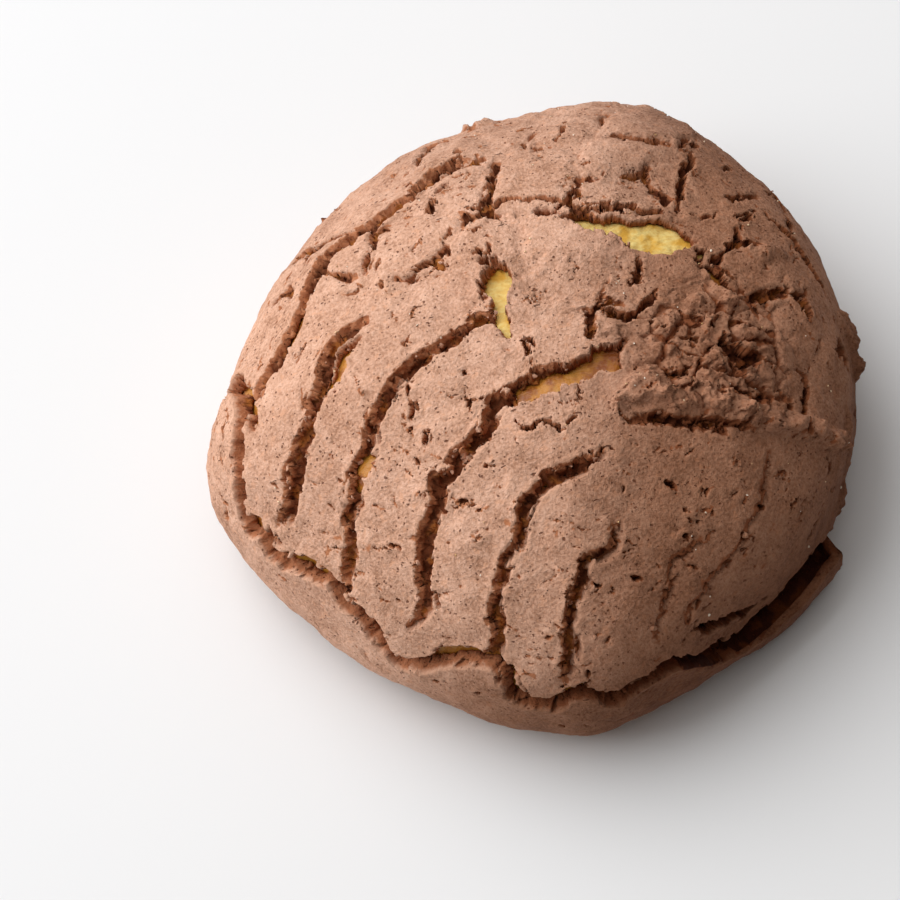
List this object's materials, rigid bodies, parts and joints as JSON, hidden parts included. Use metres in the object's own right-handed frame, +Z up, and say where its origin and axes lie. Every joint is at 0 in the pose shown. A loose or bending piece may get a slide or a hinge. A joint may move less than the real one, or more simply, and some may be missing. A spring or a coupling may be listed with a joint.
{
  "type": "sweet bun",
  "caption": "Round sweet bread bun with a scored, cracked chocolate sugar paste over the dough.",
  "frame": {"origin": "centre of the bounding box at the plane that the bun rests on", "axes": "+Z up through the crown, -Y towards the side that the picture shows"},
  "size_m": [0.1175, 0.1202, 0.0525],
  "materials": {
    "bread_crust": "baked dough, matte to slightly glossy",
    "chocolate_paste": "dry sandy sugar paste, matte"
  },
  "bodies": {
    "root": {"dough": "bread_crust", "topping": "chocolate_paste", "lower_strip": "chocolate_paste"}
  },
  "joints": []
}
